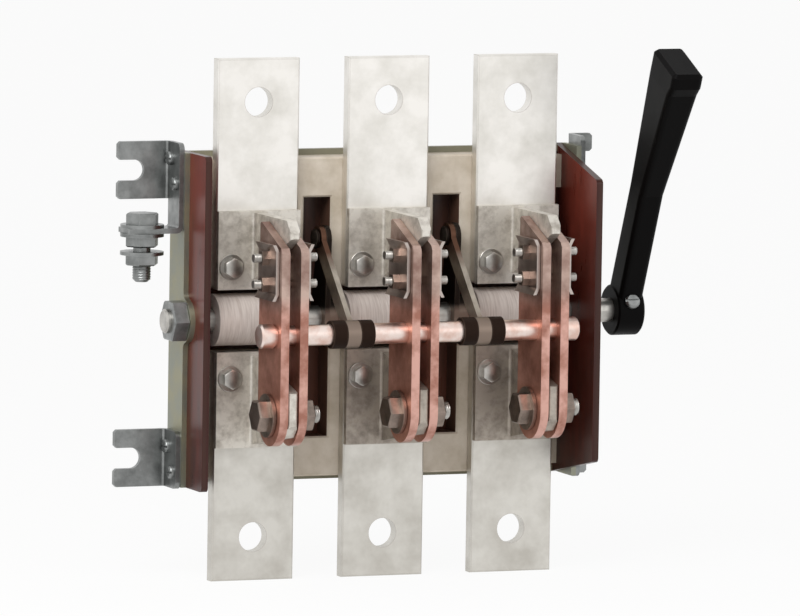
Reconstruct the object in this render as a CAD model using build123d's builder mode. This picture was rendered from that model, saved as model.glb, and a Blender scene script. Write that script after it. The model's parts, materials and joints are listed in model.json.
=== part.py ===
from build123d import *
import os
from math import cos, radians, sin

# Three-pole knife-type disconnector for a switchboard, worked by a lever at its right side.
# X runs along the shaft to the right, Y into the wall and Z up. The origin is the middle
# of the back, on the wall. A depth is measured out from the wall, so it lies at Y = -depth.
# A side or height that is given once holds for both halves: +1 is up or right, -1 down or left.

# Poles and terminal bars
pole_pitch = 80
pole_count = 3
bar_width = 50
bar_thickness = 8
bar_inner = 18
bar_outer = 150
bar_edge_chamfer = 0.8
terminal_hole = 17
terminal_hole_to_end = 25

# Insulating back: a thin panel and two bases that carry the bars, slotted for the cranks
panel_thickness = 4
panel_margin = 0.5
panel_end_reach = 35.5
base_thickness = 16
base_end_reach = 27
base_outer = 92
base_rail_height = 23
base_slot_width = 16.4
base_tongue_thickness = 6
base_corner = 2
base_edge_chamfer = 1

# Side plates: an insulating barrier inside and a steel cheek outside, equally tall
side_half_height = 96
barrier_thickness = 4
left_barrier_depth = 48
right_barrier_depth = 63
right_barrier_upper_drop = 16.5
right_barrier_lower_drop = 12.5
barrier_corner = 3
cheek_thickness = 3
cheek_depth = 23
ear_radius = 13
ear_root = 4

# Mounting brackets of bent steel with open slots, shorter on the lever's side
bracket_thickness = 3
bracket_bend = 3
left_bracket_reach = 33.5
right_bracket_reach = 15
bracket_height = 33
upper_bracket_middle = 85
lower_bracket_middle = -80.5
bracket_leg_depth = 22
bracket_leg_corner = 4
bracket_prong_corner = 1.5
slot_width = 12
left_slot_depth = 16
right_slot_depth = 9

# Earthing bolt on the tab that hangs below one bracket
tab_height = 50
tab_reach = 33
tab_width = 18
tab_depth = 4
earth_bolt_diameter = 10
earth_bolt_reach = 22
earth_stud_length = 31
earth_stud_chamfer = 1.5
earth_washer_diameter = 25
earth_washer_thickness = 2
earth_nut_height = 6
earth_lug_gap = 2.5
hex_across = 17
hex_head_height = 6.5
hex_edge_chamfer = 0.8

# Contacts: a foot on the bar and a post that the blades straddle
foot_thickness = 4
upper_foot_height = 45
lower_foot_height = 55
post_thickness = 6
post_front = 89
post_tip = 62
post_tip_cut = 7
post_root = 2
upper_post_outer_back = 62
upper_post_inner_back = 24
upper_post_inner_front = 52
lower_post_outer_back = 71
lower_post_inner_back = 20
lower_post_inner_front = 36

# Blades, their pivot bolts and the leaf springs that squeeze them
blade_thickness = 5
blade_width = 35
blade_top_back = 60
blade_top_front = 46
blade_top_corner = 2
contact_gap = 0.3
pivot_depth = 72
pivot_drop = 50
pivot_diameter = 10
pivot_washer_diameter = 25
pivot_washer_thickness = 2
spring_height = 32.5
spring_half_length = 12
spring_width = 28
spring_thickness = 2
spring_flare_height = 4
spring_flare_reach = 2
spring_bolt_diameter = 5
spring_bolt_spacing = 15
spring_nut_across = 8
spring_nut_height = 4

# Rods and insulating couplings that tie the three blade pairs together
rod_lead = 6
crank_rise = 46
rod_diameter = 12
rod_reach = 17.5
rod_cap_diameter = 14
rod_cap_length = 8
rod_cap_chamfer = 1
coupling_diameter = 16
coupling_length = 25
coupling_neck_diameter = 10
coupling_socket_depth = 6

# Shaft with sleeves, cranks and links
shaft_depth = 22
shaft_diameter = 14
shaft_end_chamfer = 1
shaft_beyond_nut = 2.5
shaft_nut_across = 22
shaft_nut_height = 9
sleeve_diameter = 30
sleeve_length = 50
crank_thickness = 3
crank_hub_radius = 12
crank_boss_radius = 11
crank_tip_radius = 7.5
crank_pin_diameter = 7
crank_pin_head_diameter = 11
crank_pin_head_height = 1.6
link_thickness = 3
link_width = 10
link_eye_radius = 7.5
link_boss_radius = 8
link_boss_length = 8

# Lever: a round hub, a straight neck, and a grip that widens forward to a lip at its top
lever_reach = 28
lever_tilt = 24
lever_length = 168
lever_hub_radius = 14.7
lever_hub_thickness = 16.5
lever_hub_chamfer = 1
lever_neck_start = 10
lever_neck_thickness = 15
lever_neck_width = 19
lever_grip_start = 80
lever_grip_thickness = 19
lever_grip_width = 32
lever_lip_start = 153
lever_lip_rise = 6
lever_lip_reach = 3
lever_top_chamfer = 2
lever_corner = 3.5

# Clearances: between flat faces that slide, round a turning fit, and round a fixed fit
running_gap = 0.3
fixed_gap = 0.05

# Places that follow from the sizes above
pole_places = [(i - (pole_count - 1) / 2) * pole_pitch for i in range(pole_count)]
gap_places = [x + pole_pitch / 2 for x in pole_places[:-1]]
base_front = panel_thickness + base_thickness
bar_front = base_front + bar_thickness
foot_front = bar_front + foot_thickness
panel_half_length = pole_places[-1] + panel_end_reach
panel_half_height = side_half_height - panel_margin
barrier_outside = panel_half_length + barrier_thickness
cheek_outside = barrier_outside + cheek_thickness
nut_outside = cheek_outside + running_gap + shaft_nut_height
lever_middle = cheek_outside + lever_reach
blade_inside = post_thickness / 2 + contact_gap
blade_outside = blade_inside + blade_thickness
crank_to_link = (crank_thickness + link_thickness) / 2 + running_gap

# The shaft, the crank pin, the rods and the pivot stand at the corners of a parallelogram,
# given here as depth and height
shaft_point = (shaft_depth, 0)
crank_point = (shaft_depth + rod_lead, crank_rise)
pivot_point = (pivot_depth, -pivot_drop)
rod_point = (pivot_depth + rod_lead, crank_rise - pivot_drop)
spring_points = [
    (pivot_depth, spring_height - spring_bolt_spacing / 2),
    (pivot_depth, spring_height + spring_bolt_spacing / 2),
]
earth_point = (-(cheek_outside + earth_bolt_reach), tab_depth + tab_width / 2)
lever_direction = (0, -sin(radians(lever_tilt)), cos(radians(lever_tilt)))


def side_plane(x):
    """A sketch plane across the shaft: its x is the depth and its y the height."""
    return Plane(origin=(x, 0, 0), x_dir=(0, -1, 0), z_dir=(-1, 0, 0))


def front_plane(depth):
    """A sketch plane along the wall: its x runs to the right and its y is the height."""
    return Plane(origin=(0, -depth, 0), x_dir=(1, 0, 0), z_dir=(0, -1, 0))


def level_plane(height):
    """A sketch plane that lies level: its x runs to the right and its y is the depth."""
    return Plane(origin=(0, 0, height), x_dir=(1, 0, 0), z_dir=(0, 0, -1))


def save(piece, name):
    """Label a finished piece and write it to its own file."""
    piece.part.label = name
    export_step(piece.part, f"parts/{name}.step")


def make_back_panel():
    """The thin laminate panel that closes the back."""
    with BuildPart() as back_panel:
        with BuildSketch(front_plane(0)):
            Rectangle(2 * panel_half_length, 2 * panel_half_height)
        extrude(amount=panel_thickness)
    save(back_panel, "back_panel")


def make_base(side, name):
    """A moulded comb with a slot for each crank, and thin tongues that reach the side plates."""
    base_height = base_outer - bar_inner
    slot_height = base_height - base_rail_height
    with BuildPart() as base:
        with BuildSketch(front_plane(panel_thickness)):
            with Locations((0, side * (base_outer - base_height / 2))):
                Rectangle(2 * (pole_places[-1] + base_end_reach), base_height)
            for x in gap_places:
                with Locations((x, side * (bar_inner + slot_height / 2))):
                    Rectangle(base_slot_width, slot_height, mode=Mode.SUBTRACT)
        extrude(amount=base_thickness)
        corners = base.edges().filter_by(Axis.Y).group_by(Axis.X)
        fillet(corners[0] + corners[-1], radius=base_corner)
        front_face = base.faces().sort_by(Axis.Y)[0]
        chamfer(front_face.outer_wire().edges(), length=base_edge_chamfer)
        with BuildSketch(front_plane(panel_thickness)):
            with Locations((0, side * (base_outer - base_rail_height / 2))):
                Rectangle(2 * panel_half_length, base_rail_height - 2 * base_corner)
        extrude(amount=base_tongue_thickness)
    save(base, name)


def make_barrier(side, depth, upper_drop, lower_drop, name):
    """A laminate sheet beside the poles, open round the shaft, lower at its front by two drops."""
    with BuildPart() as barrier:
        with BuildSketch(side_plane(side * (panel_half_length + barrier_thickness / 2))):
            with BuildLine():
                Polyline(
                    (0, -side_half_height),
                    (depth, lower_drop - side_half_height),
                    (depth, side_half_height - upper_drop),
                    (0, side_half_height),
                    close=True,
                )
            make_face()
            with Locations(shaft_point):
                Circle(shaft_diameter / 2 + running_gap, mode=Mode.SUBTRACT)
        extrude(amount=barrier_thickness / 2, both=True)
        front_corners = barrier.edges().filter_by(Axis.X).group_by(Axis.Y)[0]
        fillet(front_corners, radius=barrier_corner)
    save(barrier, name)


def make_cheek(side, name):
    """A steel side plate with a rounded ear that carries the shaft."""
    with BuildPart() as cheek:
        with BuildSketch(side_plane(side * (barrier_outside + cheek_thickness / 2))) as outline:
            with Locations((cheek_depth / 2, 0)):
                Rectangle(cheek_depth, 2 * side_half_height)
            with Locations(shaft_point):
                Circle(ear_radius)
            ear_ends = outline.vertices().filter_by_position(Axis.Y, -ear_radius, ear_radius)
            fillet(ear_ends.group_by(Axis.X)[0], radius=ear_root)
            with Locations(shaft_point):
                Circle(shaft_diameter / 2 + running_gap, mode=Mode.SUBTRACT)
        extrude(amount=cheek_thickness / 2, both=True)
    save(cheek, name)


def make_bracket(side, middle, reach, slot_depth, has_tab, name):
    """A bent steel angle on the cheek, with a slot open at its outer end for a wall bolt."""
    sheet_middle = bracket_thickness / 2
    tip = cheek_outside + reach
    slot_round = tip - slot_depth + slot_width / 2
    with BuildPart() as bracket:
        with BuildSketch(level_plane(middle + bracket_height / 2)):
            with BuildLine():
                FilletPolyline(
                    (side * tip, sheet_middle),
                    (side * (cheek_outside + sheet_middle), sheet_middle),
                    (side * (cheek_outside + sheet_middle), bracket_leg_depth),
                    radius=bracket_bend,
                )
            trace(line_width=bracket_thickness)
        extrude(amount=bracket_height)
        leg_corners = bracket.edges().filter_by(Axis.X).group_by(Axis.Y)[0]
        fillet(leg_corners, radius=bracket_leg_corner)
        with BuildSketch(front_plane(0)):
            with Locations((side * slot_round, middle)):
                Circle(slot_width / 2)
            with Locations((side * (slot_round + tip) / 2, middle)):
                Rectangle(tip - slot_round, slot_width)
        extrude(amount=bracket_thickness, mode=Mode.SUBTRACT)
        prong_corners = bracket.edges().filter_by(Axis.Y).group_by(Axis.X)[-1 if side > 0 else 0]
        chamfer(prong_corners, length=bracket_prong_corner)
        if has_tab:
            with BuildSketch(front_plane(tab_depth)):
                with BuildLine():
                    FilletPolyline(
                        (side * (cheek_outside + sheet_middle), middle),
                        (side * (cheek_outside + sheet_middle), tab_height + sheet_middle),
                        (side * (cheek_outside + tab_reach), tab_height + sheet_middle),
                        radius=bracket_bend,
                    )
                trace(line_width=bracket_thickness)
            extrude(amount=tab_width)
            with BuildSketch(level_plane(tab_height + bracket_thickness)):
                with Locations(earth_point):
                    Circle(earth_bolt_diameter / 2 + running_gap)
            extrude(amount=bracket_thickness, mode=Mode.SUBTRACT)
    save(bracket, name)


def make_earthing_bolt():
    """A hexagon bolt through the tab, head up, with its washer."""
    tab_top = tab_height + bracket_thickness
    with BuildPart() as earthing_bolt:
        with BuildSketch(level_plane(tab_top + earth_washer_thickness + hex_head_height)):
            with Locations(earth_point):
                RegularPolygon(hex_across / 2, 6, major_radius=False)
        extrude(amount=hex_head_height)
        head_top = earthing_bolt.faces().sort_by(Axis.Z)[-1]
        chamfer(head_top.edges(), length=hex_edge_chamfer)
        with BuildSketch(level_plane(tab_top + earth_washer_thickness)):
            with Locations(earth_point):
                Circle(earth_washer_diameter / 2)
        extrude(amount=earth_washer_thickness)
        with BuildSketch(level_plane(tab_top)):
            with Locations(earth_point):
                Circle(earth_bolt_diameter / 2)
        extrude(amount=earth_stud_length)
        stud_tip = earthing_bolt.faces().sort_by(Axis.Z)[0]
        chamfer(stud_tip.edges(), length=earth_stud_chamfer)
    save(earthing_bolt, "earthing_bolt")


def make_earthing_nut():
    """Two nuts with washers: one clamps the tab, and the other waits for the earthing cable."""
    stack_height = earth_washer_thickness + earth_nut_height
    with BuildPart() as earthing_nut:
        for top in (tab_height, tab_height - stack_height - earth_lug_gap):
            with BuildSketch(level_plane(top)):
                with Locations(earth_point):
                    Circle(earth_washer_diameter / 2)
                    Circle(earth_bolt_diameter / 2 + fixed_gap, mode=Mode.SUBTRACT)
            extrude(amount=earth_washer_thickness)
            with BuildSketch(level_plane(top - earth_washer_thickness)):
                with Locations(earth_point):
                    RegularPolygon(hex_across / 2, 6, major_radius=False)
                    Circle(earth_bolt_diameter / 2 + fixed_gap, mode=Mode.SUBTRACT)
            extrude(amount=earth_nut_height)
            nut_bottom = earthing_nut.faces().sort_by(Axis.Z)[0]
            chamfer(nut_bottom.outer_wire().edges(), length=hex_edge_chamfer)
    save(earthing_nut, "earthing_nut")


def make_terminal(x, side, name):
    """A flat tinned bar with one bolt hole near its outer end."""
    with BuildPart() as terminal:
        with BuildSketch(front_plane(base_front)):
            with Locations((x, side * (bar_inner + bar_outer) / 2)):
                Rectangle(bar_width, bar_outer - bar_inner)
            with Locations((x, side * (bar_outer - terminal_hole_to_end))):
                Circle(terminal_hole / 2, mode=Mode.SUBTRACT)
        extrude(amount=bar_thickness)
        for face in terminal.faces().filter_by(Axis.Y):
            chamfer(face.outer_wire().edges(), length=bar_edge_chamfer)
    save(terminal, name)


def make_contact(x, side, foot_height, outer_back, inner_back, inner_front, has_pivot, name):
    """A foot bolted on the bar with a post standing forward, tapered to its tip."""
    with BuildPart() as contact:
        with BuildSketch(front_plane(bar_front)):
            with Locations((x, side * (bar_inner + foot_height / 2))):
                Rectangle(bar_width, foot_height)
        extrude(amount=foot_thickness)
        with BuildSketch(side_plane(x)):
            with BuildLine():
                Polyline(
                    (bar_front, side * inner_back),
                    (foot_front, side * inner_back),
                    (post_front, side * inner_front),
                    (post_front, side * (post_tip - post_tip_cut)),
                    (post_front - post_tip_cut, side * post_tip),
                    (foot_front, side * outer_back),
                    (bar_front, side * outer_back),
                    close=True,
                )
            make_face()
            if has_pivot:
                with Locations(pivot_point):
                    Circle(pivot_diameter / 2 + fixed_gap, mode=Mode.SUBTRACT)
        extrude(amount=post_thickness / 2, both=True)
        roots = contact.edges().filter_by(Axis.Z).group_by(Axis.X)
        post_roots = [group for group in roots if abs(group[0].center().X - x) < post_thickness]
        fillet([edge for group in post_roots for edge in group], radius=post_root)
    save(contact, name)


def make_pivot_bolt(x, name):
    """A bolt across the lower post, with washers that keep the blades close."""
    washer_inside = blade_outside + running_gap
    head_inside = washer_inside + pivot_washer_thickness
    with BuildPart() as pivot_bolt:
        with BuildSketch(side_plane(x)):
            with Locations(pivot_point):
                Circle(pivot_diameter / 2)
        extrude(amount=head_inside, both=True)
        for side in (-1, 1):
            with BuildSketch(side_plane(x + side * (washer_inside + pivot_washer_thickness / 2))):
                with Locations(pivot_point):
                    Circle(pivot_washer_diameter / 2)
            extrude(amount=pivot_washer_thickness / 2, both=True)
            with BuildSketch(side_plane(x + side * (head_inside + hex_head_height / 2))):
                with Locations(pivot_point):
                    RegularPolygon(hex_across / 2, 6, major_radius=False)
            extrude(amount=hex_head_height / 2, both=True)
            head_end = pivot_bolt.faces().sort_by(Axis.X)[-1 if side > 0 else 0]
            chamfer(head_end.edges(), length=hex_edge_chamfer)
    save(pivot_bolt, name)


def make_blades(x, name):
    """The two copper plates of one pole, round at the pivot and sloped at the tip."""
    back = pivot_depth - blade_width / 2
    front = pivot_depth + blade_width / 2
    with BuildPart() as blades:
        for side in (-1, 1):
            with BuildSketch(side_plane(x + side * (blade_inside + blade_thickness / 2))) as plate:
                with BuildLine():
                    Polyline(
                        (back, -pivot_drop),
                        (back, blade_top_back),
                        (front, blade_top_front),
                        (front, -pivot_drop),
                    )
                    ThreePointArc(
                        (front, -pivot_drop),
                        (pivot_depth, -pivot_drop - blade_width / 2),
                        (back, -pivot_drop),
                    )
                make_face()
                chamfer(plate.vertices().sort_by(Axis.Y)[-2:], length=blade_top_corner)
                with Locations(pivot_point):
                    Circle(pivot_diameter / 2 + running_gap, mode=Mode.SUBTRACT)
                with Locations(rod_point):
                    Circle(rod_diameter / 2 + fixed_gap, mode=Mode.SUBTRACT)
                with Locations(spring_points):
                    Circle(spring_bolt_diameter / 2 + fixed_gap, mode=Mode.SUBTRACT)
            extrude(amount=blade_thickness / 2, both=True)
    save(blades, name)


def make_springs(x, name):
    """Two leaf springs with flared ends that press the blades on the upper post."""
    low = spring_height - spring_half_length
    high = spring_height + spring_half_length
    with BuildPart() as springs:
        for side in (-1, 1):
            inside = x + side * (blade_outside + running_gap)
            outside = inside + side * spring_thickness
            flare = side * spring_flare_reach
            with BuildSketch(front_plane(pivot_depth - spring_width / 2)):
                with BuildLine():
                    Polyline(
                        (inside + flare, low - spring_flare_height),
                        (inside, low),
                        (inside, high),
                        (inside + flare, high + spring_flare_height),
                        (outside + flare, high + spring_flare_height),
                        (outside, high),
                        (outside, low),
                        (outside + flare, low - spring_flare_height),
                        close=True,
                    )
                make_face()
            extrude(amount=spring_width)
        with BuildSketch(side_plane(x)):
            with Locations(spring_points):
                Circle(spring_bolt_diameter / 2 + fixed_gap)
        extrude(amount=pole_pitch / 2, both=True, mode=Mode.SUBTRACT)
    save(springs, name)


def make_spring_bolts(x, name):
    """The two through bolts of one pair of leaf springs, with a nut at each end."""
    nut_inside = blade_outside + running_gap + spring_thickness + fixed_gap
    with BuildPart() as spring_bolts:
        with BuildSketch(side_plane(x)):
            with Locations(spring_points):
                Circle(spring_bolt_diameter / 2)
        extrude(amount=nut_inside, both=True)
        for side in (-1, 1):
            with BuildSketch(side_plane(x + side * (nut_inside + spring_nut_height / 2))):
                with Locations(spring_points):
                    RegularPolygon(spring_nut_across / 2, 6, major_radius=False)
            extrude(amount=spring_nut_height / 2, both=True)
    save(spring_bolts, name)


def make_rod(start, end, cap_side, name):
    """A tinned rod across one pole, with a thicker cap on an end that is free."""
    with BuildPart() as rod:
        with BuildSketch(side_plane(end)):
            with Locations(rod_point):
                Circle(rod_diameter / 2)
        extrude(amount=end - start)
        if cap_side:
            cap_end = end if cap_side > 0 else start + rod_cap_length
            with BuildSketch(side_plane(cap_end)):
                with Locations(rod_point):
                    Circle(rod_cap_diameter / 2)
            extrude(amount=rod_cap_length)
            cap_face = rod.faces().sort_by(Axis.X)[-1 if cap_side > 0 else 0]
            chamfer(cap_face.edges(), length=rod_cap_chamfer)
    save(rod, name)


def make_coupling(x, name):
    """A black insulating spool: two collars with rod sockets and a neck for the link."""
    half = coupling_length / 2
    neck_half = link_boss_length / 2 + running_gap
    with BuildPart() as coupling:
        with BuildSketch(side_plane(x + half)):
            with Locations(rod_point):
                Circle(coupling_diameter / 2)
        extrude(amount=coupling_length)
        with BuildSketch(side_plane(x)):
            with Locations(rod_point):
                Circle(coupling_diameter)
                Circle(coupling_neck_diameter / 2, mode=Mode.SUBTRACT)
        extrude(amount=neck_half, both=True, mode=Mode.SUBTRACT)
        for side in (-1, 1):
            with BuildSketch(side_plane(x + side * (half - coupling_socket_depth / 2))):
                with Locations(rod_point):
                    Circle(rod_diameter / 2 + fixed_gap)
            extrude(amount=coupling_socket_depth / 2, both=True, mode=Mode.SUBTRACT)
    save(coupling, name)


def make_shaft():
    """The long turning shaft, from the nut at its left end to the lever."""
    left_end = nut_outside + shaft_beyond_nut
    right_end = lever_middle + lever_hub_thickness / 2
    with BuildPart() as drive_shaft:
        with BuildSketch(side_plane(right_end)):
            with Locations(shaft_point):
                Circle(shaft_diameter / 2)
        extrude(amount=right_end + left_end)
        free_end = drive_shaft.faces().sort_by(Axis.X)[0]
        chamfer(free_end.edges(), length=shaft_end_chamfer)
    save(drive_shaft, "drive_shaft")


def make_shaft_nut():
    """The nut that keeps the shaft in the left cheek."""
    with BuildPart() as shaft_nut:
        with BuildSketch(side_plane(shaft_nut_height - nut_outside)):
            with Locations(shaft_point):
                RegularPolygon(shaft_nut_across / 2, 6, major_radius=False)
                Circle(shaft_diameter / 2 + fixed_gap, mode=Mode.SUBTRACT)
        extrude(amount=shaft_nut_height)
        nut_end = shaft_nut.faces().sort_by(Axis.X)[0]
        chamfer(nut_end.outer_wire().edges(), length=hex_edge_chamfer)
    save(shaft_nut, "shaft_nut")


def make_sleeve(x, name):
    """An insulating sleeve on the shaft, between the two bars of a pole."""
    with BuildPart() as sleeve:
        with BuildSketch(side_plane(x)):
            with Locations(shaft_point):
                Circle(sleeve_diameter / 2)
                Circle(shaft_diameter / 2 + fixed_gap, mode=Mode.SUBTRACT)
        extrude(amount=sleeve_length / 2, both=True)
    save(sleeve, name)


def make_crank(x, name):
    """A tapered crank arm, a boss that reaches the next sleeve, and the pin that its link turns on."""
    arm_right = x + (crank_to_link + crank_thickness) / 2
    boss_right = x + (pole_pitch - sleeve_length) / 2 - running_gap
    pin_length = crank_thickness + running_gap + link_thickness + running_gap
    with BuildPart() as crank:
        with BuildSketch(side_plane(arm_right)):
            with Locations(shaft_point):
                Circle(crank_hub_radius)
            with Locations(crank_point):
                Circle(crank_tip_radius)
            make_hull()
        extrude(amount=crank_thickness)
        with BuildSketch(side_plane(boss_right)):
            with Locations(shaft_point):
                Circle(crank_boss_radius)
        extrude(amount=boss_right - arm_right)
        with BuildSketch(side_plane(boss_right)):
            with Locations(shaft_point):
                Circle(shaft_diameter / 2 + fixed_gap)
        extrude(amount=boss_right - arm_right + crank_thickness, mode=Mode.SUBTRACT)
        with BuildSketch(side_plane(arm_right)):
            with Locations(crank_point):
                Circle(crank_pin_diameter / 2)
        extrude(amount=pin_length)
        with BuildSketch(side_plane(arm_right - pin_length)):
            with Locations(crank_point):
                Circle(crank_pin_head_diameter / 2)
        extrude(amount=crank_pin_head_height)
    save(crank, name)


def make_link(x, name):
    """A flat link from the crank pin to the coupling, where its long boss turns on the neck."""
    with BuildPart() as link:
        with BuildSketch(side_plane(x - crank_to_link / 2)):
            with Locations(crank_point, rod_point):
                Circle(link_width / 2)
            make_hull()
            with Locations(crank_point):
                Circle(link_eye_radius)
        extrude(amount=link_thickness / 2, both=True)
        with BuildSketch(side_plane(x - crank_to_link / 2)):
            with Locations(rod_point):
                Circle(link_boss_radius)
        extrude(amount=link_boss_length / 2, both=True)
        with BuildSketch(side_plane(x - crank_to_link / 2)):
            with Locations(crank_point):
                Circle(crank_pin_diameter / 2 + running_gap)
            with Locations(rod_point):
                Circle(coupling_neck_diameter / 2 + running_gap)
        extrude(amount=link_boss_length / 2, both=True, mode=Mode.SUBTRACT)
    save(link, name)


def lever_plane(distance):
    """A plane across the lever at a distance from the shaft: its x runs right and its y back."""
    rise = [distance * value for value in lever_direction]
    origin = (lever_middle, rise[1] - shaft_depth, rise[2])
    return Plane(origin=origin, x_dir=(1, 0, 0), z_dir=lever_direction)


def make_lever():
    """The moulded side lever. Its back runs straight, and its front moves out to the lip."""
    lip_width = lever_grip_width + lever_lip_reach
    # Distance from the shaft, thickness, width, and how far the section is drawn in all round
    sections = (
        (lever_neck_start, lever_neck_thickness, lever_neck_width, 0),
        (lever_grip_start, lever_neck_thickness, lever_neck_width, 0),
        (lever_lip_start, lever_grip_thickness, lever_grip_width, 0),
        (lever_lip_start + lever_lip_rise, lever_grip_thickness, lip_width, 0),
        (lever_length - lever_top_chamfer, lever_grip_thickness, lip_width, 0),
        (lever_length, lever_grip_thickness, lip_width, lever_top_chamfer),
    )
    with BuildPart() as lever:
        with BuildSketch(side_plane(lever_middle)):
            with Locations(shaft_point):
                Circle(lever_hub_radius)
        extrude(amount=lever_hub_thickness / 2, both=True)
        chamfer(lever.edges().filter_by(GeomType.CIRCLE), length=lever_hub_chamfer)
        for distance, thickness, width, cut in sections:
            with BuildSketch(lever_plane(distance)):
                with Locations((0, (lever_neck_width - width) / 2)):
                    RectangleRounded(thickness - 2 * cut, width - 2 * cut, lever_corner - cut)
        loft(ruled=True)
        with BuildSketch(side_plane(lever_middle)):
            with Locations(shaft_point):
                Circle(shaft_diameter / 2 + fixed_gap)
        extrude(amount=lever_hub_thickness, both=True, mode=Mode.SUBTRACT)
    save(lever, "lever")


os.makedirs("parts", exist_ok=True)

make_back_panel()
make_base(1, "upper_base")
make_base(-1, "lower_base")
make_barrier(-1, left_barrier_depth, 0, 0, "left_barrier")
make_barrier(
    1, right_barrier_depth, right_barrier_upper_drop, right_barrier_lower_drop, "right_barrier"
)
make_cheek(-1, "left_cheek")
make_cheek(1, "right_cheek")
make_earthing_bolt()
make_earthing_nut()

for half, middle in (("upper", upper_bracket_middle), ("lower", lower_bracket_middle)):
    carries_tab = half == "upper"
    make_bracket(-1, middle, left_bracket_reach, left_slot_depth, carries_tab, f"{half}_left_bracket")
    make_bracket(1, middle, right_bracket_reach, right_slot_depth, False, f"{half}_right_bracket")

for number, x in enumerate(pole_places, start=1):
    make_terminal(x, 1, f"upper_terminal_{number}")
    make_terminal(x, -1, f"lower_terminal_{number}")
    make_contact(
        x, 1, upper_foot_height, upper_post_outer_back, upper_post_inner_back,
        upper_post_inner_front, False, f"upper_contact_{number}",
    )
    make_contact(
        x, -1, lower_foot_height, lower_post_outer_back, lower_post_inner_back,
        lower_post_inner_front, True, f"lower_contact_{number}",
    )
    make_pivot_bolt(x, f"pivot_bolt_{number}")
    make_blades(x, f"blades_{number}")
    make_springs(x, f"contact_springs_{number}")
    make_spring_bolts(x, f"spring_bolt_{number}")
    make_sleeve(x, f"shaft_sleeve_{number}")

# Each gap between two poles has a coupling, a crank and a link. The link runs in the middle
# of the coupling, so the coupling stands as far from the middle of the gap as the link does.
rod_joints = []
for number, x in enumerate(gap_places, start=1):
    coupling_place = x - crank_to_link / 2
    make_coupling(coupling_place, f"coupling_{number}")
    make_crank(x, f"crank_{number}")
    make_link(x, f"link_{number}")
    socket_floor = coupling_length / 2 - coupling_socket_depth
    rod_joints += [coupling_place - socket_floor, coupling_place + socket_floor]

rod_end = pole_places[-1] + rod_reach
rod_ends = [-rod_end, *rod_joints, rod_end]
for number in range(1, pole_count + 1):
    cap_side = {1: -1, pole_count: 1}.get(number, 0)
    make_rod(rod_ends[2 * number - 2], rod_ends[2 * number - 1], cap_side, f"rod_{number}")

make_shaft()
make_shaft_nut()
make_lever()
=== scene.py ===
import json
from math import atan2, cos, pi, radians, sin, tan

import bmesh
import bpy
from mathutils import Matrix, Vector


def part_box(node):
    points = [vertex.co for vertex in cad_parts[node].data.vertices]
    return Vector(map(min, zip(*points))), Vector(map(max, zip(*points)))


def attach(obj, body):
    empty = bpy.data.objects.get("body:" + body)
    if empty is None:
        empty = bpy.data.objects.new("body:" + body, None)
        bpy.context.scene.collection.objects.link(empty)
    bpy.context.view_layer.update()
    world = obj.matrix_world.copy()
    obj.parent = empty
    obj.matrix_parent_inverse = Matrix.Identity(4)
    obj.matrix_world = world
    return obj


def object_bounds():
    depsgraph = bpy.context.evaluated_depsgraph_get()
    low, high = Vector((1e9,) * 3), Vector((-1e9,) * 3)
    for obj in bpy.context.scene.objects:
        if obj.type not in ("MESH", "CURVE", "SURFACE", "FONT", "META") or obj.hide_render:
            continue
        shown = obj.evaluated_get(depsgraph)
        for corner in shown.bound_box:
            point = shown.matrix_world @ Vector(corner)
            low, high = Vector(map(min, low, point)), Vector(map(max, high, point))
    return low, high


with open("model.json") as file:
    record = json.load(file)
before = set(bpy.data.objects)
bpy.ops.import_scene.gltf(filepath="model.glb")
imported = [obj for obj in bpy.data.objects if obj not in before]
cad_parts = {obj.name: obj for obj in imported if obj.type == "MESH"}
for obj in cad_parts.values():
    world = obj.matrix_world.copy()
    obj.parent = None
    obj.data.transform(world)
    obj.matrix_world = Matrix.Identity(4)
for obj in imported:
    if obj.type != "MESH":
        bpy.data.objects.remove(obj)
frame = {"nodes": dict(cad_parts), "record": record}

# Three-pole knife-type disconnector: finishes, small fasteners, light and camera.
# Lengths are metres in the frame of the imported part: +X along the shaft to the right, +Y into
# the wall and +Z up. Sizes that a maker would give in millimetres are written as 12 * MM.

MM = 0.001
FORWARD = (0, -1, 0)
INTO_WALL = (0, 1, 0)
RIGHT = (1, 0, 0)
UP = (0, 0, 1)

cad_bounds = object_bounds()
nodes = frame["nodes"]


def middle(node):
    """The middle of a CAD node's box."""
    low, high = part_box(node)
    return (Vector(low) + Vector(high)) / 2


pole_places = [middle(f"upper_terminal_{number}").x for number in (1, 2, 3)]

# The slots of the bases, where the cranks turn, stand midway between the poles.
slot_place = (pole_places[1] + pole_places[2]) / 2


# Colours as they are seen, in sRGB

TIN_BRIGHT = "#ECE9E4"
TIN_CLOUDED = "#D6D3CC"
# The next two tin tones are painted shade, for the bars below the shaft.
TIN_PAINTED_SHADE = "#D2CFC8"
TIN_PAINTED_SHADE_CLOUDED = "#B9B5AD"
TIN_WORN = "#B3AEA6"
ROD_TIN = "#EBDBD3"
ROD_COPPER = "#DABBAE"
CASTING_PALE = "#D8D3CA"
CASTING_DARK = "#AAA399"
# The next two casting tones are painted shade, for two of the lower feet.
CASTING_PAINTED_SHADE_PALE = "#B0A79C"
CASTING_PAINTED_SHADE = "#8A8178"
COPPER_FACE = "#C88D7A"
COPPER_TARNISH = "#8C5542"
COPPER_CUT = "#D2A598"
COPPER_CUT_DULL = "#A06F60"
CONTACT_GREY = "#C2A99D"
CONTACT_BROWN = "#8B6E64"
CREAM_MOULDING = "#D5CABB"
CREAM_SHADE = "#BDB09D"
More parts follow.
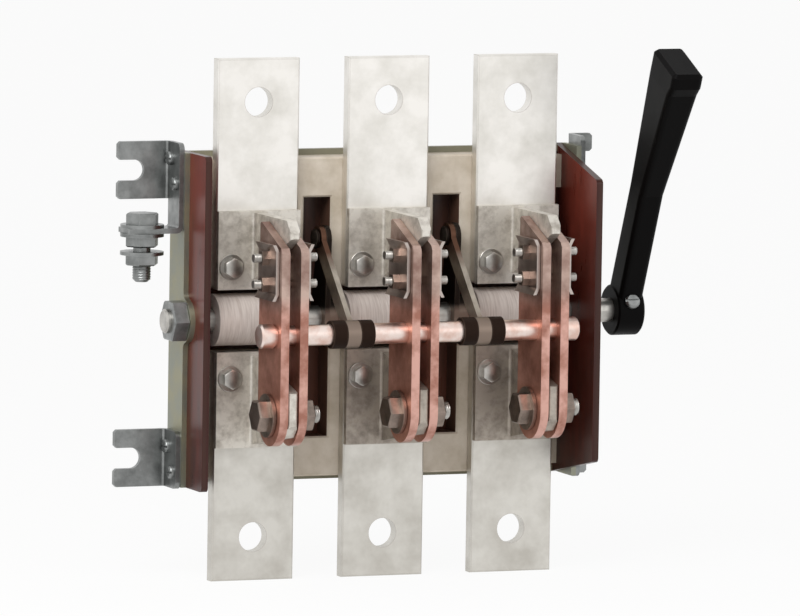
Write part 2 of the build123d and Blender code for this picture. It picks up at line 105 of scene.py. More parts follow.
# The next colour is painted shade, on the walls of the cranks' slots and the upper parts of the links.
SLOT_SHADE_BROWN = "#5A4033"
LAMINATE_RED = "#702F24"
LAMINATE_DARK = "#3A1711"
LAMINATE_EDGE = "#3E231B"
PANEL_BROWN = "#6A3F30"
PANEL_DARK = "#2E1F18"
PANEL_EDGE = "#8E8B78"
PASSIVATED_GREY = "#8A8C80"
PASSIVATED_YELLOW = "#9C977B"
ZINC_GREY = "#747675"
ZINC_PALE = "#979998"
BOLT_GREY = "#6E645C"
BOLT_PALE = "#9C8C82"
LINK_GREY = "#8F877C"
LINK_PALE = "#B0A79A"
SCREW_GREY = "#9C9994"
SCREW_PALE = "#C9C6C0"
SPRING_WARM = "#8C7A73"
SPRING_PALE = "#B3A39B"
SPRING_EDGE = "#B9AEA7"
TUBE_PALE = "#DFD5CE"
TUBE_FIBRE = "#C6B9B1"
BLACK_MOULDING = "#080707"
BLACK_DUST = "#171513"
BROWN_MOULDING = "#261A14"
BROWN_DUST = "#5F4F45"
BLACK_OXIDE = "#29231F"
OXIDE_RUBBED = "#6B5F56"
BOSS_RUBBED = "#85766B"
FLOOR_WHITE = "#F4F4F2"
PLAIN_WHITE = "#FFFFFF"


def linear(colour):
    """An sRGB hex colour as the linear values that Blender takes."""
    parts = [int(colour[i:i + 2], 16) / 255 for i in (1, 3, 5)]
    return (*[p / 12.92 if p <= 0.04045 else ((p + 0.055) / 1.055) ** 2.4 for p in parts], 1)


def per_metre(size_in_mm):
    """The scale at which a pattern repeats about once in a size given in millimetres."""
    return 1 / (size_in_mm * MM)


# Materials

def add_node(owner, kind, inputs=None, ramp=None, **settings):
    """Add a shader node to a material or world, set its properties, and set or link its inputs.

    An input goes by its name, or by its number where names repeat, among the inputs that the
    settings leave in use. A node that is given as a value stands for its first output in use.
    A ramp is two stops, each a position and a colour.
    """
    tree = owner.node_tree
    node = tree.nodes.new(kind)
    for name, value in settings.items():
        setattr(node, name, value)
    in_use = [socket for socket in node.inputs if socket.enabled]
    names = [socket.name for socket in in_use]
    for key, value in (inputs or {}).items():
        socket = in_use[key if isinstance(key, int) else names.index(key)]
        if isinstance(value, bpy.types.Node):
            value = next(output for output in value.outputs if output.enabled)
        if isinstance(value, bpy.types.NodeSocket):
            tree.links.new(value, socket)
        else:
            socket.default_value = linear(value) if isinstance(value, str) else value
    if ramp:
        for stop, (position, colour) in zip(node.color_ramp.elements, ramp):
            stop.position = position
            stop.color = linear(colour)
    return node


def empty_nodes(owner):
    """Give a material or world a node tree without nodes, and return the owner."""
    owner.use_nodes = True
    owner.node_tree.nodes.clear()
    return owner


def new_material(name):
    """A material that has no surface yet, and the coordinates of a point on its piece."""
    material = empty_nodes(bpy.data.materials.new(name))
    place = add_node(material, "ShaderNodeTexCoord").outputs["Object"]
    return material, place


def surface(material, inputs, gloss, bump):
    """Close a material with its shader, from the shader's own inputs, and return it.

    gloss is a pattern and the roughness at its 0 and at its 1. bump is a pattern, the strength
    of the relief that it gives and the depth of that relief in millimetres.
    """
    gloss_pattern, roughness_at_0, roughness_at_1 = gloss
    bump_pattern, strength, depth_in_mm = bump
    roughness = add_node(material, "ShaderNodeMapRange", {
        "Value": gloss_pattern, "To Min": roughness_at_0, "To Max": roughness_at_1})
    normal = add_node(material, "ShaderNodeBump", {
        "Height": bump_pattern, "Strength": strength, "Distance": depth_in_mm * MM})
    shader = add_node(material, "ShaderNodeBsdfPrincipled", {
        **inputs, "Roughness": roughness, "Normal": normal})
    add_node(material, "ShaderNodeOutputMaterial", {"Surface": shader})
    return material


def streaks(material, place, width_in_mm, stretch, detail=3.0):
    """A pattern of a given width that is drawn out by the stretch in X, Y and Z."""
    drawn_out = add_node(material, "ShaderNodeMapping", {
        "Vector": place, "Scale": [1 / factor for factor in stretch]})
    return add_node(material, "ShaderNodeTexNoise", {
        "Vector": drawn_out, "Scale": per_metre(width_in_mm), "Detail": detail})


def above(material, place, height_in_mm, blend_in_mm):
    """A mask that rises from 0 to 1 across a height, blended over a given distance."""
    height = add_node(material, "ShaderNodeSeparateXYZ", {"Vector": place}).outputs["Z"]
    return add_node(material, "ShaderNodeMapRange", {
        "Value": height,
        "From Min": (height_in_mm - blend_in_mm / 2) * MM,
        "From Max": (height_in_mm + blend_in_mm / 2) * MM})


def facing(material, axis):
    """A mask that is 1 on faces square to an axis, and 0 on those along it."""
    normal = add_node(material, "ShaderNodeNewGeometry").outputs["Normal"]
    share = add_node(material, "ShaderNodeSeparateXYZ", {"Vector": normal}).outputs[axis]
    return add_node(material, "ShaderNodeMath", {0: share}, operation="ABSOLUTE")


def worn_edges(material, width_in_mm):
    """A mask that is 1 on sharp edges, from how far a rounded normal leaves the true one."""
    rounded = add_node(material, "ShaderNodeBevel", {"Radius": width_in_mm * MM}, samples=6)
    sharp = add_node(material, "ShaderNodeNewGeometry").outputs["Normal"]
    match = add_node(material, "ShaderNodeVectorMath", {0: rounded, 1: sharp}, operation="DOT_PRODUCT")
    return add_node(material, "ShaderNodeMapRange", {"Value": match, "From Min": 0.99, "From Max": 0.80})


def tinned_copper():
    """Copper bar plated with tin: near white, softly clouded, with painted shade darkening the bars below
    the shaft.
    """
    material, place = new_material("tinned_copper")
    clouds = add_node(material, "ShaderNodeTexNoise", {
        "Vector": place, "Scale": per_metre(22), "Detail": 4.0, "Roughness": 0.6})
    # The rolling lines are about 0.1 mm wide and too fine to show, so they are drawn 1.2 mm wide.
    rolled = streaks(material, place, width_in_mm=1.2, stretch=(1, 1, 40))
    bright = add_node(material, "ShaderNodeValToRGB", {"Fac": clouds},
                      ramp=((0.30, TIN_CLOUDED), (0.62, TIN_BRIGHT)))
    # The tones below the shaft are painted shade, darker than the tin above it.
    dull = add_node(material, "ShaderNodeValToRGB", {"Fac": clouds},
                    ramp=((0.30, TIN_PAINTED_SHADE_CLOUDED), (0.62, TIN_PAINTED_SHADE)))
    tone = add_node(material, "ShaderNodeMix", {
        "Factor": above(material, place, height_in_mm=0, blend_in_mm=10),
        "A": dull, "B": bright}, data_type="RGBA")
    colour = add_node(material, "ShaderNodeMix", {
        "Factor": worn_edges(material, width_in_mm=0.8), "A": tone, "B": TIN_WORN}, data_type="RGBA")
    return surface(material, {"Metallic": 1.0, "Base Color": colour},
                   gloss=(clouds, 0.46, 0.34), bump=(rolled, 0.25, 0.03))


def rubbed_tin():
    """Tinned copper rods: the tin is thin and rubbed, so the copper under it shows pink."""
    material, place = new_material("rubbed_tin")
    rubbed = add_node(material, "ShaderNodeTexNoise", {
        "Vector": place, "Scale": per_metre(9), "Detail": 4.0, "Roughness": 0.6})
    # The die's lines are under 0.1 mm wide and too fine to show, so they are made 0.9 mm wide.
    drawn = streaks(material, place, width_in_mm=0.9, stretch=(25, 1, 1))
    tone = add_node(material, "ShaderNodeValToRGB", {"Fac": rubbed},
                    ramp=((0.36, ROD_COPPER), (0.60, ROD_TIN)))
    return surface(material, {"Metallic": 1.0, "Base Color": tone},
                   gloss=(drawn, 0.26, 0.42), bump=(drawn, 0.25, 0.03))


def cast_bronze(name, dark, pale):
    """Cast contact feet with a dull tin wash: grey, grainy and blotched where the flux stayed."""
    material, place = new_material(name)
    blotches = add_node(material, "ShaderNodeTexNoise", {
        "Vector": place, "Scale": per_metre(7), "Detail": 5.0, "Roughness": 0.65})
    # The grains of moulding sand are 0.3 mm wide and too fine to show, so they are drawn 0.9 mm wide.
    grains = add_node(material, "ShaderNodeTexNoise", {
        "Vector": place, "Scale": per_metre(0.9), "Detail": 2.0})
    tone = add_node(material, "ShaderNodeValToRGB", {"Fac": blotches},
                    ramp=((0.30, dark), (0.58, pale)))
    return surface(material, {"Metallic": 0.7, "Base Color": tone},
                   gloss=(blotches, 0.58, 0.40), bump=(grains, 0.4, 0.08))


def rolled_copper():
    """Copper blades: brown where they tarnish, pink on the sheared edges, grey at the contact tip."""
    material, place = new_material("rolled_copper")
    tarnish = add_node(material, "ShaderNodeTexNoise", {
        "Vector": place, "Scale": per_metre(16), "Detail": 5.0, "Roughness": 0.6})
    # The rolling lines are about 0.1 mm wide and too fine to show, so they are drawn 1 mm wide.
    rolled = streaks(material, place, width_in_mm=1.0, stretch=(1, 1, 30))
    face = add_node(material, "ShaderNodeValToRGB", {"Fac": tarnish},
                    ramp=((0.28, COPPER_TARNISH), (0.66, COPPER_FACE)))
    sheared = add_node(material, "ShaderNodeValToRGB", {"Fac": tarnish},
                       ramp=((0.38, COPPER_CUT_DULL), (0.60, COPPER_CUT)))
    cut = add_node(material, "ShaderNodeMapRange", {
        "Value": facing(material, "X"), "From Min": 0.9, "From Max": 0.6})
    bare = add_node(material, "ShaderNodeMix", {
        "Factor": cut, "A": face, "B": sheared}, data_type="RGBA")
    tip = add_node(material, "ShaderNodeValToRGB", {"Fac": tarnish},
                   ramp=((0.34, CONTACT_BROWN), (0.62, CONTACT_GREY)))
    colour = add_node(material, "ShaderNodeMix", {
        "Factor": above(material, place, height_in_mm=14, blend_in_mm=12),
        "A": bare, "B": tip}, data_type="RGBA")
    return surface(material, {"Metallic": 0.85, "Base Color": colour},
                   gloss=(tarnish, 0.48, 0.30), bump=(rolled, 0.3, 0.04))


def cream_moulding():
    """Pressed thermoset bases: cream, half matt, mottled by the filler, with painted shade on the slot
    walls.
    """
    material, place = new_material("cream_moulding")
    filler = add_node(material, "ShaderNodeTexNoise", {
        "Vector": place, "Scale": per_metre(14), "Detail": 5.0, "Roughness": 0.6})
    # The pores are about 0.2 mm wide and too fine to show, so they are drawn 1.1 mm wide.
    pores = add_node(material, "ShaderNodeTexNoise", {
        "Vector": place, "Scale": per_metre(1.1), "Detail": 2.0})
    tone = add_node(material, "ShaderNodeValToRGB", {"Fac": filler},
                    ramp=((0.30, CREAM_SHADE), (0.62, CREAM_MOULDING)))
    # The walls of the cranks' slots are darkened with painted shade. This reach from a slot's middle and
    # up and down from the shaft takes in just more than the slots, which lie alike on all sides. A
    # wall is a face that hardly looks along Y.
    shade_sideways = 9 * MM
    shade_height = 72 * MM
    facing_limit = 0.3
    from_middle = add_node(material, "ShaderNodeVectorMath", {0: place}, operation="ABSOLUTE")
    reach = add_node(material, "ShaderNodeSeparateXYZ", {"Vector": from_middle})
    beside = add_node(material, "ShaderNodeMath", {
        0: reach.outputs["X"], 1: slot_place, 2: shade_sideways}, operation="COMPARE")
    inside = add_node(material, "ShaderNodeMath", {
        0: reach.outputs["Z"], 1: shade_height}, operation="LESS_THAN")
    near_slot = add_node(material, "ShaderNodeMath", {0: beside, 1: inside}, operation="MULTIPLY")
    wall = add_node(material, "ShaderNodeMath", {
        0: facing(material, "Y"), 1: facing_limit}, operation="LESS_THAN")
    shaded_wall = add_node(material, "ShaderNodeMath", {0: near_slot, 1: wall}, operation="MULTIPLY")
    colour = add_node(material, "ShaderNodeMix", {
        "Factor": shaded_wall, "A": tone, "B": SLOT_SHADE_BROWN}, data_type="RGBA")
    return surface(material, {"IOR": 1.5, "Base Color": colour},
                   gloss=(pores, 0.42, 0.58), bump=(pores, 0.3, 0.08))


def phenolic_laminate(name, axis, low_tone, high_tone, bare, margin_in_mm=None):
    """Lacquered paper laminate: deep brown and glossy, with its layers bare on cut edges.

    The axis is the one that the sheet lies square to. Beyond a margin, which counts up and down
    from the shaft, the faces take the colour of the bare layers too.
    """
    material, place = new_material(name)
    fibres = streaks(material, place, width_in_mm=6, stretch=(1, 1, 5), detail=5.0)
    # The fibres' tone is mixed with painted light and shade that changes from the foot to the top.
    fibres_and_painted_shade = add_node(material, "ShaderNodeMix", {
        "Factor": 0.4, "A": fibres, "B": above(material, place, height_in_mm=0, blend_in_mm=180)})
    face = add_node(material, "ShaderNodeValToRGB", {"Fac": fibres_and_painted_shade},
                    ramp=((0.25, low_tone), (0.75, high_tone)))
    # The real layers are 0.2 mm thick and too fine to show, so the cut edge is shaded by waves
    # that are 5 mm long, or 0.8 mm to the radian. At a scale of 1 the texture has 20 radians.
    wave_radians = 20
    layers = add_node(material, "ShaderNodeTexWave", {
        "Vector": place, "Scale": per_metre(0.8) / wave_radians, "Distortion": 1.0, "Detail": 2.0,
        "Detail Scale": 0.4}, bands_direction=axis)
    edge = add_node(material, "ShaderNodeValToRGB", {"Fac": layers.outputs["Fac"]},
                    ramp=((0.2, low_tone), (0.9, bare)))
    colour = add_node(material, "ShaderNodeMix", {
        "Factor": facing(material, axis), "A": edge, "B": face}, data_type="RGBA")
    if margin_in_mm:
        from_middle = add_node(material, "ShaderNodeVectorMath", {0: place}, operation="ABSOLUTE")
        colour = add_node(material, "ShaderNodeMix", {
            "Factor": above(material, from_middle, margin_in_mm, blend_in_mm=1),
            "A": colour, "B": bare}, data_type="RGBA")
    return surface(material, {"IOR": 1.55, "Specular IOR Level": 0.25, "Base Color": colour},
                   gloss=(fibres, 0.22, 0.38), bump=(fibres, 0.2, 0.1))


def passivated_steel():
    """Side cheeks of zinc-plated steel, passivated: grey-green with a yellow bloom."""
    material, place = new_material("passivated_steel")
    bloom = add_node(material, "ShaderNodeTexNoise", {
        "Vector": place, "Scale": per_metre(18), "Detail": 4.0, "Roughness": 0.6})
    # The grain of the plating is under 0.1 mm wide and too fine to show, so it is drawn 0.8 mm wide.
    grain = add_node(material, "ShaderNodeTexNoise", {
        "Vector": place, "Scale": per_metre(0.8), "Detail": 2.0})
    tone = add_node(material, "ShaderNodeValToRGB", {"Fac": bloom},
                    ramp=((0.35, PASSIVATED_GREY), (0.70, PASSIVATED_YELLOW)))
    return surface(material, {"Metallic": 0.85, "Base Color": tone},
                   gloss=(bloom, 0.36, 0.50), bump=(grain, 0.3, 0.05))


def zinc_plate(name, grey, pale, shaded_top_rubbed_boss=False):
    """Zinc-plated steel of brackets, bolts, nuts and links: clouded grey, paler on worn edges."""
    material, place = new_material(name)
    clouds = add_node(material, "ShaderNodeTexNoise", {
        "Vector": place, "Scale": per_metre(9), "Detail": 4.0, "Roughness": 0.6})
    # The grain of the plating is under 0.1 mm wide and too fine to show, so it is drawn 0.7 mm wide.
    grain = add_node(material, "ShaderNodeTexNoise", {
        "Vector": place, "Scale": per_metre(0.7), "Detail": 2.0})
    tone = add_node(material, "ShaderNodeValToRGB", {"Fac": clouds},
                    ramp=((0.32, grey), (0.68, pale)))
    colour = add_node(material, "ShaderNodeMix", {
        "Factor": worn_edges(material, width_in_mm=0.6), "A": tone, "B": pale}, data_type="RGBA")
    if shaded_top_rubbed_boss:
        # A link has painted shade, a dark brown, over its upper part round the crank's pin, where it lies
        # in the dark slot, and is brown at its boss below.
        colour = add_node(material, "ShaderNodeMix", {
            "Factor": above(material, place, height_in_mm=34, blend_in_mm=10),
            "A": colour, "B": SLOT_SHADE_BROWN}, data_type="RGBA")
        colour = add_node(material, "ShaderNodeMix", {
            "Factor": above(material, place, height_in_mm=5, blend_in_mm=4),
            "A": BOSS_RUBBED, "B": colour}, data_type="RGBA")
    return surface(material, {"Metallic": 1.0, "Base Color": colour},
                   gloss=(clouds, 0.42, 0.28), bump=(grain, 0.3, 0.04))


def spring_strip():
    """Hardened spring strip: warm grey steel with fine lines across its width and bright edges."""
    material, place = new_material("spring_strip")
    heat = add_node(material, "ShaderNodeTexNoise", {
        "Vector": place, "Scale": per_metre(12), "Detail": 3.0})
    # The brushed lines are under 0.1 mm wide and too fine to show, so they are drawn 1 mm wide.
    brushed = streaks(material, place, width_in_mm=1.0, stretch=(1, 25, 1))
    tone = add_node(material, "ShaderNodeValToRGB", {"Fac": heat},
                    ramp=((0.35, SPRING_WARM), (0.60, SPRING_PALE)))
    cut = add_node(material, "ShaderNodeMapRange", {
        "Value": facing(material, "X"), "From Min": 0.7, "From Max": 0.4})
    colour = add_node(material, "ShaderNodeMix", {
        "Factor": cut, "A": tone, "B": SPRING_EDGE}, data_type="RGBA")
    return surface(material, {"Metallic": 1.0, "Base Color": colour},
                   gloss=(brushed, 0.24, 0.40), bump=(brushed, 0.3, 0.04))


def wound_paper_tube():
    """Sleeves of wound varnished paper: pale, half glossy, with the rings of the winding."""
    material, place = new_material("wound_paper_tube")
    # The turns are 3 mm wide before the stretch, so the rings are 0.9 mm wide along the shaft.
    wound = streaks(material, place, width_in_mm=3, stretch=(0.3, 4, 4), detail=4.0)
    tone = add_node(material, "ShaderNodeValToRGB", {"Fac": wound},
                    ramp=((0.30, TUBE_FIBRE), (0.62, TUBE_PALE)))
    return surface(material, {"IOR": 1.5, "Base Color": tone},
                   gloss=(wound, 0.42, 0.30), bump=(wound, 0.3, 0.06))


def dark_thermoset(name, base, dust):
    """Moulded thermoset of the lever and couplings: deep and dark, with a thin dull sheen."""
    material, place = new_material(name)
    flow = add_node(material, "ShaderNodeTexNoise", {
        "Vector": place, "Scale": per_metre(20), "Detail": 4.0, "Roughness": 0.6})
    # The mould's texture is about 0.2 mm wide and too fine to show, so it is drawn 0.9 mm wide.
    texture = add_node(material, "ShaderNodeTexNoise", {
        "Vector": place, "Scale": per_metre(0.9), "Detail": 3.0})
    rubbed = add_node(material, "ShaderNodeMath", {
        0: worn_edges(material, width_in_mm=1.0), 1: flow}, operation="MULTIPLY")
    colour = add_node(material, "ShaderNodeMix", {
        "Factor": rubbed, "A": base, "B": dust}, data_type="RGBA")
    return surface(material, {"IOR": 1.5, "Specular IOR Level": 0.05, "Base Color": colour},
                   gloss=(flow, 0.38, 0.52), bump=(texture, 0.25, 0.08))


def blackened_steel():
    """Cranks of oil-blackened steel: brown-black, rubbed grey on edges and on the shaft's boss."""
    material, place = new_material("blackened_steel")
    patches = add_node(material, "ShaderNodeTexNoise", {
        "Vector": place, "Scale": per_metre(8), "Detail": 4.0, "Roughness": 0.6})
    rubbed = add_node(material, "ShaderNodeMath", {
        0: worn_edges(material, width_in_mm=0.7), 1: patches}, operation="MULTIPLY")
    edges = add_node(material, "ShaderNodeMix", {
        "Factor": rubbed, "A": BLACK_OXIDE, "B": OXIDE_RUBBED}, data_type="RGBA")
    colour = add_node(material, "ShaderNodeMix", {
        "Factor": above(material, place, height_in_mm=5, blend_in_mm=4),
        "A": BOSS_RUBBED, "B": edges}, data_type="RGBA")
    return surface(material, {"Metallic": 1.0, "Base Color": colour},
                   gloss=(patches, 0.34, 0.55), bump=(patches, 0.2, 0.1))


finishes = {
    "tinned_copper": tinned_copper(),
    "contact_metal": cast_bronze("cast_bronze", CASTING_DARK, CASTING_PALE),
    "blade_copper": rolled_copper(),
    "moulded_base": cream_moulding(),
    "laminate": phenolic_laminate("laminate_sheet", "X", LAMINATE_DARK, LAMINATE_RED, LAMINATE_EDGE),
    "side_steel": passivated_steel(),
    "zinc_steel": zinc_plate("zinc_plate", ZINC_GREY, ZINC_PALE),
    "spring_steel": spring_strip(),
    "sleeve_tube": wound_paper_tube(),
    "black_moulding": dark_thermoset("black_thermoset", BLACK_MOULDING, BLACK_DUST),
    "dark_steel": blackened_steel(),
}

# The zinc is brighter on the foot and panel screws, the free threads beside the blades and the
# shaft, and tarnished on the bolts through the blades. Two of the lower feet wear a darker copy of the
# casting: painted shade.
bright_zinc = zinc_plate("bright_zinc_plate", SCREW_GREY, SCREW_PALE)
aged_zinc = zinc_plate("aged_zinc_plate", BOLT_GREY, BOLT_PALE)
shaded_bronze = cast_bronze("shaded_bronze", CASTING_PAINTED_SHADE, CASTING_PAINTED_SHADE_PALE)

# Some nodes, or rows of numbered nodes, have a finish of their own within their slot. The back
# panel takes the colour of its bare layers where it stands out above and below the bases.
own_finishes = {
    "back_panel": phenolic_laminate(
        "laminate_panel", "Y", PANEL_BROWN, PANEL_DARK, PANEL_EDGE, margin_in_mm=91.5),
    "rod": rubbed_tin(),
    "coupling": dark_thermoset("brown_thermoset", BROWN_MOULDING, BROWN_DUST),
    "pivot_bolt": aged_zinc,
    "spring_bolt": aged_zinc,
    "link": zinc_plate("shaded_zinc_plate", LINK_GREY, LINK_PALE, shaded_top_rubbed_boss=True),
    "drive_shaft": bright_zinc,
    # These two lower feet carry painted shade.
    "lower_contact_2": shaded_bronze,
    "lower_contact_3": shaded_bronze,
}

for part in frame["record"]["subparts"]:
    node = part["node"]
    row = node.rstrip("_123")
    finish = own_finishes.get(node) or own_finishes.get(row) or finishes[part["material_slot"]]
    nodes[node].data.materials.clear()
    nodes[node].data.materials.append(finish)


# Small fasteners

def finish_piece(name, mesh, slot, body, finish=None, smooth_angle=35):
    """Make an object of a mesh, shade it, and give it its finish and the body that it rides on."""
    bmesh.ops.recalc_face_normals(mesh, faces=mesh.faces)
    data = bpy.data.meshes.new(name)
    mesh.to_mesh(data)
    mesh.free()
    piece = bpy.data.objects.new(name, data)
    bpy.context.scene.collection.objects.link(piece)
    data.materials.append(finish or finishes[slot])
    data.shade_smooth()
    data.set_sharp_from_angle(angle=radians(smooth_angle))
    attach(piece, body)


def towards(place, direction):
    """The turn and shift that stand a fastener, made along +Z, at a place in a direction."""
    return Matrix.Translation(place) @ Vector(direction).to_track_quat("Z", "Y").to_matrix().to_4x4()


def add_turned(mesh, stand, profile, segments=32, reshape=None):
    """Add a closed solid of rings, from the profile's (radius, height) pairs.

    reshape takes a radius, a height and an angle, and gives the radius and height of that point.
    """
    rings = []
    for radius, height in profile:
        ring = []
        for step in range(segments):
            angle = 2 * pi * step / segments
            reach, level = reshape(radius, height, angle) if reshape else (radius, height)
            ring.append(mesh.verts.new(stand @ Vector((reach * cos(angle), reach * sin(angle), level))))
        rings.append(ring)
    for lower, upper in zip(rings, rings[1:]):
        for step in range(segments):
            following = (step + 1) % segments
            mesh.faces.new((lower[step], lower[following], upper[following], upper[step]))
    mesh.faces.new(reversed(rings[0]))
    mesh.faces.new(rings[-1])


def add_hex_head(mesh, stand, across, height):
    """Add a hexagon head whose top is chamfered round, as turned from hexagon bar."""
    flat_radius = 0.47 * across
    chamfer_slope = tan(radians(30))

    def hexagon(radius, level, angle):
        """Draw a ring that is wider than the flats out to the hexagon, and chamfer its top."""
        if radius < across / 2:
            return radius, level
        reach = across / 2 / cos((angle + pi / 6) % (pi / 3) - pi / 6)
        fall = (reach - flat_radius) * chamfer_slope if level > 0 else 0
        return reach, level - fall

    profile = ((across, 0), (across, height), (flat_radius, height))
    add_turned(mesh, stand, profile, segments=48, reshape=hexagon)


def add_bolt_head(mesh, stand, across, height, washer_radius, washer_height):
    """Add a hexagon head on its washer."""
    lip = 0.2 * MM
    add_turned(mesh, stand, (
        (washer_radius, 0), (washer_radius, washer_height - lip), (washer_radius - lip, washer_height)))
    add_hex_head(mesh, stand @ Matrix.Translation((0, 0, washer_height)), across, height)


def add_slotted_head(mesh, stand, radius, height, slot_width, slot_depth):
    """Add a low round head with a straight slot, as two half domes on one disc."""
    slot_floor = height - slot_depth
    add_turned(mesh, stand, ((radius, 0), (radius, slot_floor * 0.6), (radius * 0.97, slot_floor)))
    # The half domes draw in from just inside the disc to their tops. Each pair is a share of the
    # radius and a height.
    overlap = 0.05 * MM
    dome = ((0.96, slot_floor - overlap), (0.90, slot_floor + slot_depth * 0.55), (0.72, height))
    steps = 14
    first_angle = atan2(slot_width / 2, radius * 0.9)
    angles = [first_angle + (pi - 2 * first_angle) * step / steps for step in range(steps + 1)]
    for side in (-1, 1):
        rings = []
        for share, level in dome:
            ring = []
            for angle in angles:
                x = radius * share * cos(angle)
                y = max(radius * share * sin(angle), slot_width / 2)
                ring.append(mesh.verts.new(stand @ Vector((x, side * y, level))))
            rings.append(ring)
        for lower, upper in zip(rings, rings[1:]):
            for step in range(steps):
                mesh.faces.new((lower[step], lower[step + 1], upper[step + 1], upper[step]))
            slot_wall = (lower[0], upper[0], upper[-1], lower[-1])
            mesh.faces.new(slot_wall)
        mesh.faces.new(rings[-1])
        mesh.faces.new(reversed(rings[0]))


def add_thread(mesh, stand, radius, length, pitch, relief):
    """Add a screw thread: a rod's surface whose radius rises and falls along a helix."""
    rows_per_turn = 8
    rows = int(length / pitch * rows_per_turn)

    def helix(base, level, angle):
        """Raise a point by its share of the way round the helix."""
        phase = (level / pitch - angle / (2 * pi)) % 1
        return base + relief * (1 - abs(2 * phase - 1)), level

    profile = [(radius, length * row / rows) for row in range(rows + 1)]
    add_turned(mesh, stand, profile, reshape=helix)


# Two hexagon screws hold each contact foot on its bar, one on either side of the post.
foot_thickness = 4 * MM
foot_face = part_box("upper_terminal_1")[0][1] - foot_thickness
screw_from_pole = 17 * MM
upper_left_rise = 31 * MM
upper_right_rise = 51 * MM
lower_left_drop = 33 * MM
lower_right_drop = 60 * MM

foot_screws = bmesh.new()
for pole in pole_places:
    for side, height in ((-1, -lower_left_drop), (1, -lower_right_drop),
                         (-1, upper_left_rise), (1, upper_right_rise)):
        place = (pole + side * screw_from_pole, foot_face, height)
        add_bolt_head(foot_screws, towards(place, FORWARD), across=10 * MM, height=4.5 * MM,
                      washer_radius=7.5 * MM, washer_height=1.4 * MM)
finish_piece("foot_screws", foot_screws, "zinc_steel", "frame", bright_zinc)

# Two slotted screws hold each bracket's leg to its cheek. Their places are a depth in front of
# the wall and a rise above the leg's middle.
bracket_thickness = 3 * MM
leg_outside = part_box("lower_right_bracket")[0][0] + bracket_thickness
rear_screw = (8 * MM, 7 * MM)
front_screw = (16 * MM, -7 * MM)

bracket_screws = bmesh.new()
for side in (-1, 1):
    for half in ("lower", "upper"):
        bracket_height = middle(f"{half}_right_bracket").z
        for depth, rise in (rear_screw, front_screw):
            place = (side * leg_outside, -depth, bracket_height + rise)
            add_slotted_head(bracket_screws, towards(place, (side, 0, 0)), radius=4 * MM,
                             height=2.6 * MM, slot_width=1.2 * MM, slot_depth=1.1 * MM)
finish_piece("bracket_screws", bracket_screws, "zinc_steel", "frame")

# Flush screws through the back panel hold the rails of the bases, and hardly stand out of it.
panel_screw_columns = (-96 * MM, -40 * MM, 40 * MM, 96 * MM)
panel_screw_height = 80 * MM
panel_screw_sunk = 0.35 * MM

panel_screws = bmesh.new()
for half in (-1, 1):
    for column in panel_screw_columns:
        place = (column, -panel_screw_sunk, half * panel_screw_height)
        add_slotted_head(panel_screws, towards(place, INTO_WALL), radius=4.5 * MM, height=0.5 * MM,
                         slot_width=1.2 * MM, slot_depth=0.4 * MM)
finish_piece("panel_screws", panel_screws, "zinc_steel", "frame", bright_zinc)

# The lever is clamped on the shaft by a slotted screw that sits in the round front of its hub.
clamp_tilt = radians(24)
clamp_seat = 14.4 * MM
shaft_axis = middle("drive_shaft")
hub_centre = Vector((middle("lever").x, shaft_axis.y, shaft_axis.z))
clamp_direction = Vector((0, -cos(clamp_tilt), sin(clamp_tilt)))

clamp_screw = bmesh.new()
add_slotted_head(clamp_screw, towards(hub_centre + clamp_seat * clamp_direction, clamp_direction),
                 radius=4.6 * MM, height=3.2 * MM, slot_width=1.4 * MM, slot_depth=1.3 * MM)
finish_piece("clamp_screw", clamp_screw, "zinc_steel", "shaft")

# The spring bolts stand out of their nuts on both sides, and the pivot bolts on the right.
nut_half_width = 4 * MM

spring_tips = bmesh.new()
pivot_tips = bmesh.new()
for number, pole in enumerate(pole_places, start=1):
    low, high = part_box(f"spring_bolt_{number}")
    for height in (low[2] + nut_half_width, high[2] - nut_half_width):
        for side in (-1, 1):
            place = (pole + side * (high[0] - pole), middle(f"spring_bolt_{number}").y, height)
            add_thread(spring_tips, towards(place, (side, 0, 0)),
                       radius=2.3 * MM, length=4.5 * MM, pitch=0.8 * MM, relief=0.2 * MM)
    pivot = middle(f"pivot_bolt_{number}")
    pivot_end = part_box(f"pivot_bolt_{number}")[1][0]
    add_thread(pivot_tips, towards((pivot_end, pivot.y, pivot.z), RIGHT),
               radius=4.6 * MM, length=4 * MM, pitch=1.5 * MM, relief=0.4 * MM)
finish_piece("spring_tips", spring_tips, "zinc_steel", "blade_set", bright_zinc, smooth_angle=60)
finish_piece("pivot_tips", pivot_tips, "zinc_steel", "frame", bright_zinc, smooth_angle=60)

# The earthing bolt's free end is threaded, but for its chamfer.
stud_chamfer = 1.5 * MM
stud_axis = middle("earthing_nut")
thread_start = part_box("earthing_bolt")[0][2] + stud_chamfer
thread_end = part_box("earthing_nut")[0][2]

earth_thread = bmesh.new()
add_thread(earth_thread, towards((stud_axis.x, stud_axis.y, thread_start), UP),
           radius=4.95 * MM, length=thread_end - thread_start, pitch=1.5 * MM, relief=0.4 * MM)
finish_piece("earth_thread", earth_thread, "zinc_steel", "frame", smooth_angle=60)


# Floor, light and camera

def seen_rays(owner):
    """A mask that is 1 on rays that show a surface, directly or in metal or glass, and 0 on its light."""
    rays = add_node(owner, "ShaderNodeLightPath").outputs
    seen = rays["Is Camera Ray"]
    for name in ("Is Glossy Ray", "Is Transmission Ray"):
        seen = add_node(owner, "ShaderNodeMath", {0: seen, 1: rays[name]}, operation="MAXIMUM")
    return seen


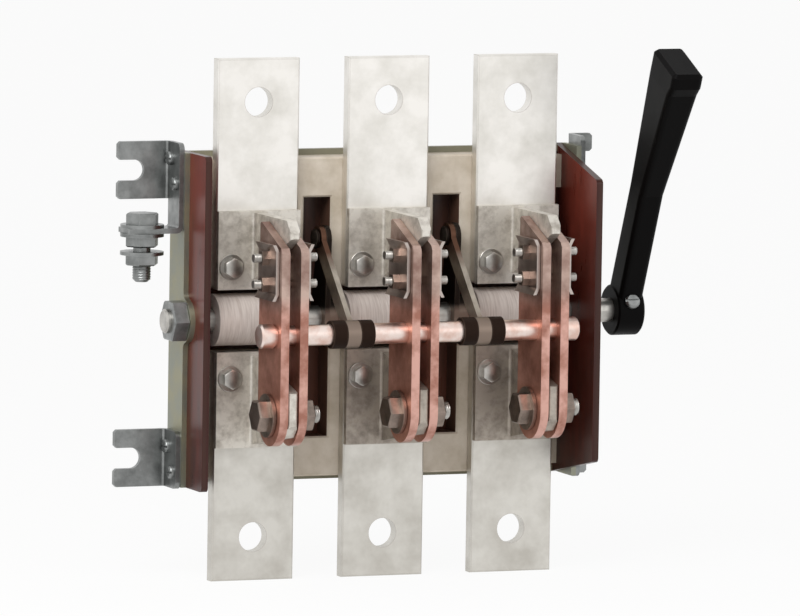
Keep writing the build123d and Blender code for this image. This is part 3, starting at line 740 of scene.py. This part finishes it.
# The floor is seen mostly as plain white, and partly as lit, which keeps the object's shadow.
white_share = 0.92
painted_floor = empty_nodes(bpy.data.materials.new("painted_floor"))
lit = add_node(painted_floor, "ShaderNodeBsdfDiffuse", {"Color": FLOOR_WHITE})
white = add_node(painted_floor, "ShaderNodeEmission", {"Color": PLAIN_WHITE, "Strength": 1.0})
share = add_node(painted_floor, "ShaderNodeMath", {
    0: seen_rays(painted_floor), 1: white_share}, operation="MULTIPLY")
seen_floor = add_node(painted_floor, "ShaderNodeMixShader", {0: share, 1: lit, 2: white})
add_node(painted_floor, "ShaderNodeOutputMaterial", {"Surface": seen_floor})

floor_half_width = 6
floor_mesh = bmesh.new()
bmesh.ops.create_grid(floor_mesh, x_segments=1, y_segments=1, size=floor_half_width)
floor_data = bpy.data.meshes.new("floor")
floor_mesh.to_mesh(floor_data)
floor_mesh.free()
floor = bpy.data.objects.new("floor", floor_data)
floor.location.z = cad_bounds[0][2]
floor_data.materials.append(painted_floor)
bpy.context.scene.collection.objects.link(floor)

# The world is seen as white, and lights the object a little over half as strongly.
world_light = 0.52
studio = empty_nodes(bpy.data.worlds.new("studio"))
strength = add_node(studio, "ShaderNodeMapRange", {
    "Value": seen_rays(studio), "To Min": world_light, "To Max": 1.0})
backdrop = add_node(studio, "ShaderNodeBackground", {"Color": PLAIN_WHITE, "Strength": strength})
add_node(studio, "ShaderNodeOutputWorld", {"Surface": backdrop})
bpy.context.scene.world = studio


def add_softbox(name, place, aim, size, power):
    """Add a square area lamp that points at a place on the object."""
    lamp = bpy.data.lights.new(name, "AREA")
    lamp.size = size
    lamp.energy = power
    softbox = bpy.data.objects.new(name, lamp)
    softbox.location = place
    softbox.rotation_euler = (Vector(aim) - Vector(place)).to_track_quat("-Z", "Y").to_euler()
    bpy.context.scene.collection.objects.link(softbox)


add_softbox("key", place=(-0.7, -0.75, 0.85), aim=(0, 0, 0.03), size=0.7, power=9.5)
add_softbox("fill", place=(1.1, -1.3, 0.5), aim=(0, 0, 0), size=1.0, power=2.5)

# The photograph was taken from the left and a little above, from far away.
view_azimuth = radians(22)
view_elevation = radians(5.8)
view_roll = radians(0.9)
view_distance = 6.0
view_centre = Vector((0.008, -0.03, 0.005))
picture_width = 800
pixels_per_metre = 1740

to_camera = Vector((
    -sin(view_azimuth) * cos(view_elevation),
    -cos(view_azimuth) * cos(view_elevation),
    sin(view_elevation)))
camera_data = bpy.data.cameras.new("camera")
camera_data.sensor_width = 36
camera_data.lens = camera_data.sensor_width * view_distance * pixels_per_metre / picture_width
camera_data.clip_end = 50
camera = bpy.data.objects.new("camera", camera_data)
camera.location = view_centre + view_distance * to_camera
camera.rotation_euler = (
    (-to_camera).to_track_quat("-Z", "Y").to_matrix() @ Matrix.Rotation(view_roll, 3, "Z")).to_euler()
bpy.context.scene.collection.objects.link(camera)
bpy.context.scene.camera = camera
bpy.context.scene.view_settings.view_transform = "Standard"
